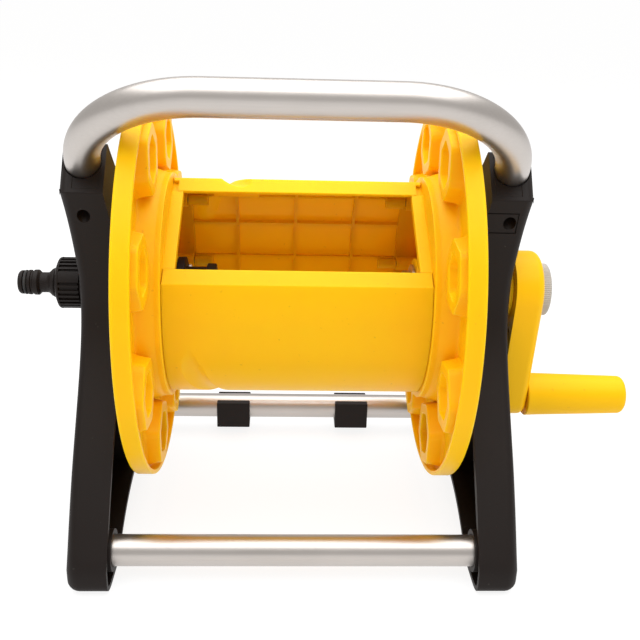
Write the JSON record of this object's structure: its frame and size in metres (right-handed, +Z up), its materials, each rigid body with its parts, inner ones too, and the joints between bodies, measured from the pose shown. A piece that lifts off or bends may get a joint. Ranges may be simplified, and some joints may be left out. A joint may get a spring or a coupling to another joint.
{
  "type": "garden hose reel",
  "caption": "Free-standing garden hose reel without hose: flanged drum on an axle between two side frames, with a hand crank, a carry handle and a quick-connect water inlet.",
  "frame": {"origin": "on the floor under the middle of the reel's bounding box", "axes": "+X along the axle towards the crank, +Y to the rear (the handle leans over the front), +Z up"},
  "size_m": [0.4298, 0.258, 0.3128],
  "materials": {
    "yellow_plastic": "moulded, satin gloss",
    "black_plastic": "moulded, fine matt grain",
    "satin_aluminium": "blasted and anodised",
    "zinc_steel": "zinc plated",
    "grey_plastic": "moulded, knurled edge",
    "black_rubber": "matt"
  },
  "bodies": {
    "frame": {"left_side_frame": "black_plastic", "right_side_frame": "black_plastic", "carry_handle": "satin_aluminium", "front_cross_bar": "satin_aluminium", "rear_cross_bar": "satin_aluminium", "left_handle_screw": "zinc_steel", "right_handle_screw": "zinc_steel", "front_left_bar_screw": "zinc_steel", "front_right_bar_screw": "zinc_steel", "rear_left_bar_screw": "zinc_steel", "rear_right_bar_screw": "zinc_steel", "inlet_tube": "black_plastic", "inlet_lock_nut": "black_plastic", "inlet_connector": "black_plastic", "inlet_washer": "black_rubber", "connector_o_ring": "black_rubber", "inner_swivel_o_ring": "black_rubber", "outer_swivel_o_ring": "black_rubber"},
    "left_clip": {"left_bar_clip": "black_plastic"},
    "right_clip": {"right_bar_clip": "black_plastic"},
    "drum": {"left_flange": "yellow_plastic", "right_flange": "yellow_plastic", "front_drum_panel": "yellow_plastic", "rear_drum_panel": "yellow_plastic", "left_panel_screw_1": "zinc_steel", "left_panel_screw_2": "zinc_steel", "left_panel_screw_3": "zinc_steel", "left_panel_screw_4": "zinc_steel", "right_panel_screw_1": "zinc_steel", "right_panel_screw_2": "zinc_steel", "right_panel_screw_3": "zinc_steel", "right_panel_screw_4": "zinc_steel", "outlet_elbow": "black_plastic", "elbow_screw_1": "zinc_steel", "elbow_screw_2": "zinc_steel", "hose_nut": "black_plastic", "crank_bolt": "zinc_steel", "crank_bolt_washer": "zinc_steel", "crank_arm": "yellow_plastic", "crank_cap": "grey_plastic", "grip_bolt": "zinc_steel"},
    "grip": {"crank_grip": "yellow_plastic"}
  },
  "joints": [
    {"name": "drum_spin", "type": "hinge", "parent": "frame", "child": "drum", "pos_m": [-0.02585, 0, 0.165], "axis": [1, 0, 0], "continuous": true},
    {"name": "grip_spin", "type": "hinge", "parent": "drum", "child": "grip", "pos_m": [0.17845, 0, 0.084], "axis": [1, 0, 0], "continuous": true},
    {"name": "left_clip_turn", "type": "hinge", "parent": "frame", "child": "left_clip", "pos_m": [-0.07585, 0.1035, 0.021], "axis": [1, 0, 0], "continuous": true},
    {"name": "right_clip_turn", "type": "hinge", "parent": "frame", "child": "right_clip", "pos_m": [0.02415, 0.1035, 0.021], "axis": [1, 0, 0], "continuous": true}
  ]
}
